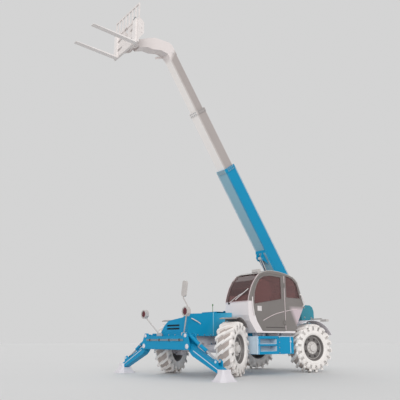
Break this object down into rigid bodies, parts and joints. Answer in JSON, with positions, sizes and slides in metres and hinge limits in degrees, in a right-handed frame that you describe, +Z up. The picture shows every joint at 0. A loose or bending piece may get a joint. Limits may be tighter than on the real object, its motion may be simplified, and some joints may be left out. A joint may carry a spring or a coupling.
{
  "type": "telehandler",
  "caption": "Telescopic handler with a raised three-section boom, pallet forks on a tilting carriage, a side cab, steered wheels and lowered front stabilisers",
  "frame": {"origin": "on the ground, midway between the fork tips and the rear of the counterweight, on the machine's middle plane", "axes": "+X forward, +Y to the machine's left, +Z up"},
  "size_m": [7.0834, 4.11, 8.6379],
  "materials": {
    "paint_blue": "gloss",
    "paint_grey": "satin",
    "chassis_pale": "satin",
    "cab_grey": "satin",
    "rim_grey": "satin",
    "tyre_pale": "matte",
    "cab_glass": "polished",
    "rod_chrome": "polished",
    "engine_iron": "rough",
    "seat_dark": "matte",
    "lamp_shell": "matte"
  },
  "bodies": {
    "chassis": {"chassis_frame": "chassis_pale", "frame_plate_left": "chassis_pale", "frame_plate_right": "chassis_pale", "frame_outriggers": "chassis_pale", "stabiliser_beam": "paint_blue", "front_axle": "chassis_pale", "rear_axle": "chassis_pale", "front_cover": "paint_blue", "engine_bay": "paint_blue", "engine_block": "engine_iron", "fuel_tank": "paint_blue", "step_box": "paint_blue", "cab_shell": "cab_grey", "cab_glass": "cab_glass", "seat": "seat_dark", "steering_column": "seat_dark", "front_lamps": "lamp_shell", "mirror": "lamp_shell", "counterweight": "paint_blue", "rear_lamps": "lamp_shell"},
    "hood": {"engine_hood": "paint_blue"},
    "door": {"cab_door": "cab_grey", "door_glass": "cab_glass"},
    "base_section": {"boom_base": "paint_blue"},
    "mid_section": {"boom_mid": "paint_grey"},
    "fly_section": {"boom_fly": "paint_grey"},
    "lift_barrel": {"lift_cylinder": "paint_grey"},
    "lift_piston": {"lift_rod": "rod_chrome"},
    "tilt_barrel": {"tilt_cylinder": "paint_grey"},
    "tilt_piston": {"tilt_rod": "rod_chrome"},
    "fork_carriage": {"carriage": "paint_grey", "forks": "paint_grey"},
    "leg_left": {"stabiliser_leg_left": "paint_blue", "stabiliser_pad_left": "chassis_pale"},
    "leg_barrel_left": {"leg_cylinder_left": "paint_blue"},
    "leg_piston_left": {"leg_rod_left": "rod_chrome"},
    "hub_front_left": {"knuckle_front_left": "chassis_pale", "fender_front_left": "chassis_pale"},
    "wheel_front_left": {"tyre_front_left": "tyre_pale", "rim_front_left": "rim_grey"},
    "hub_rear_left": {"knuckle_rear_left": "chassis_pale", "fender_rear_left": "chassis_pale"},
    "wheel_rear_left": {"tyre_rear_left": "tyre_pale", "rim_rear_left": "rim_grey"},
    "leg_right": {"stabiliser_leg_right": "paint_blue", "stabiliser_pad_right": "chassis_pale"},
    "leg_barrel_right": {"leg_cylinder_right": "paint_blue"},
    "leg_piston_right": {"leg_rod_right": "rod_chrome"},
    "hub_front_right": {"knuckle_front_right": "chassis_pale", "fender_front_right": "chassis_pale"},
    "wheel_front_right": {"tyre_front_right": "tyre_pale", "rim_front_right": "rim_grey"},
    "hub_rear_right": {"knuckle_rear_right": "chassis_pale", "fender_rear_right": "chassis_pale"},
    "wheel_rear_right": {"tyre_rear_right": "tyre_pale", "rim_rear_right": "rim_grey"}
  },
  "joints": [
    {"name": "boom_lift", "type": "hinge", "parent": "chassis", "child": "base_section", "pos_m": [-3.16167, 0, 1.92], "axis": [0, -1, 0], "range_deg": [-58, 15.5]},
    {"name": "boom_mid_extend", "type": "slide", "parent": "base_section", "child": "mid_section", "axis": [0.5807, 0, 0.8141], "range_m": [-1.45, 0.9]},
    {"name": "boom_fly_extend", "type": "slide", "parent": "mid_section", "child": "fly_section", "axis": [0.5807, 0, 0.8141], "range_m": [-1.45, 0.9]},
    {"name": "lift_barrel_swing", "type": "hinge", "parent": "chassis", "child": "lift_barrel", "pos_m": [-3.25167, 0, 0.8], "axis": [0, -1, 0], "range_deg": [-36, 10]},
    {"name": "lift_rod_extend", "type": "slide", "parent": "lift_barrel", "child": "lift_piston", "axis": [0.4805, 0, 0.877], "range_m": [-0.75, 0.22]},
    {"name": "carriage_tilt", "type": "hinge", "parent": "fly_section", "child": "fork_carriage", "pos_m": [2.24467, 0, 7.74291], "axis": [0, 1, 0], "range_deg": [-62, 60]},
    {"name": "tilt_barrel_swing", "type": "hinge", "parent": "fly_section", "child": "tilt_barrel", "pos_m": [1.0983, 0, 7.99558], "axis": [0, 1, 0], "range_deg": [-1, 1]},
    {"name": "tilt_rod_extend", "type": "slide", "parent": "tilt_barrel", "child": "tilt_piston", "axis": [0.9992, 0, 0.0395], "range_m": [-0.28, 0.27]},
    {"name": "leg_left_lower", "type": "hinge", "parent": "chassis", "child": "leg_left", "pos_m": [0.97333, 0.82, 0.64], "axis": [-1, 0, 0], "range_deg": [-104.6, 0]},
    {"name": "leg_barrel_left_swing", "type": "hinge", "parent": "chassis", "child": "leg_barrel_left", "pos_m": [0.97333, 0.76, 0.865], "axis": [-1, 0, 0], "range_deg": [-109.5, 0]},
    {"name": "leg_rod_left_extend", "type": "slide", "parent": "leg_barrel_left", "child": "leg_piston_left", "axis": [0, 0.8749, -0.4843], "range_m": [-0.365, 0]},
    {"name": "leg_right_lower", "type": "hinge", "parent": "chassis", "child": "leg_right", "pos_m": [0.97333, -0.82, 0.64], "axis": [1, 0, 0], "range_deg": [-104.6, 0]},
    {"name": "leg_barrel_right_swing", "type": "hinge", "parent": "chassis", "child": "leg_barrel_right", "pos_m": [0.97333, -0.76, 0.865], "axis": [1, 0, 0], "range_deg": [-109.5, 0]},
    {"name": "leg_rod_right_extend", "type": "slide", "parent": "leg_barrel_right", "child": "leg_piston_right", "axis": [0, -0.8749, -0.4843], "range_m": [-0.365, 0]},
    {"name": "steer_front_left", "type": "hinge", "parent": "chassis", "child": "hub_front_left", "pos_m": [0.04833, 0.805, 0.585], "axis": [0, 0, 1], "range_deg": [-58, 8]},
    {"name": "spin_front_left", "type": "hinge", "parent": "hub_front_left", "child": "wheel_front_left", "pos_m": [-0.04253, 0.99986, 0.585], "axis": [-0.4226, 0.9063, 0], "continuous": true},
    {"name": "steer_front_right", "type": "hinge", "parent": "chassis", "child": "hub_front_right", "pos_m": [0.04833, -0.805, 0.585], "axis": [0, 0, 1], "range_deg": [-58, 8]},
    {"name": "spin_front_right", "type": "hinge", "parent": "hub_front_right", "child": "wheel_front_right", "pos_m": [0.13919, -0.99986, 0.585], "axis": [0.4226, -0.9063, 0], "continuous": true},
    {"name": "steer_rear_left", "type": "hinge", "parent": "chassis", "child": "hub_rear_left", "pos_m": [-2.74167, 0.805, 0.585], "axis": [0, 0, 1], "range_deg": [-21, 45]},
    {"name": "spin_rear_left", "type": "hinge", "parent": "hub_rear_left", "child": "wheel_rear_left", "pos_m": [-2.69697, 1.0153, 0.585], "axis": [0.2079, 0.9781, 0], "continuous": true},
    {"name": "steer_rear_right", "type": "hinge", "parent": "chassis", "child": "hub_rear_right", "pos_m": [-2.74167, -0.805, 0.585], "axis": [0, 0, 1], "range_deg": [-21, 45]},
    {"name": "spin_rear_right", "type": "hinge", "parent": "hub_rear_right", "child": "wheel_rear_right", "pos_m": [-2.78637, -1.0153, 0.585], "axis": [-0.2079, -0.9781, 0], "continuous": true},
    {"name": "door_swing", "type": "hinge", "parent": "chassis", "child": "door", "pos_m": [-1.74667, 1.084, 1.63], "axis": [0, 0, 1], "range_deg": [0, 85]},
    {"name": "hood_lift", "type": "hinge", "parent": "chassis", "child": "hood", "pos_m": [-1.35167, -0.307, 1.478], "axis": [-1, 0, 0], "range_deg": [0, 55]}
  ],
  "couplings": [
    {"joint": "boom_fly_extend", "follows": "boom_mid_extend", "ratio": 1},
    {"joint": "lift_barrel_swing", "follows": "boom_lift", "ratio": 0.603},
    {"joint": "lift_rod_extend", "follows": "boom_lift", "m_per_rad": 0.71},
    {"joint": "tilt_barrel_swing", "follows": "carriage_tilt", "ratio": 0.012},
    {"joint": "tilt_rod_extend", "follows": "carriage_tilt", "m_per_rad": 0.25},
    {"joint": "leg_barrel_left_swing", "follows": "leg_left_lower", "ratio": 1.043},
    {"joint": "leg_rod_left_extend", "follows": "leg_left_lower", "m_per_rad": 0.1985},
    {"joint": "leg_barrel_right_swing", "follows": "leg_right_lower", "ratio": 1.043},
    {"joint": "leg_rod_right_extend", "follows": "leg_right_lower", "m_per_rad": 0.1985},
    {"joint": "steer_front_right", "follows": "steer_front_left", "ratio": 1},
    {"joint": "steer_rear_right", "follows": "steer_rear_left", "ratio": 1}
  ]
}
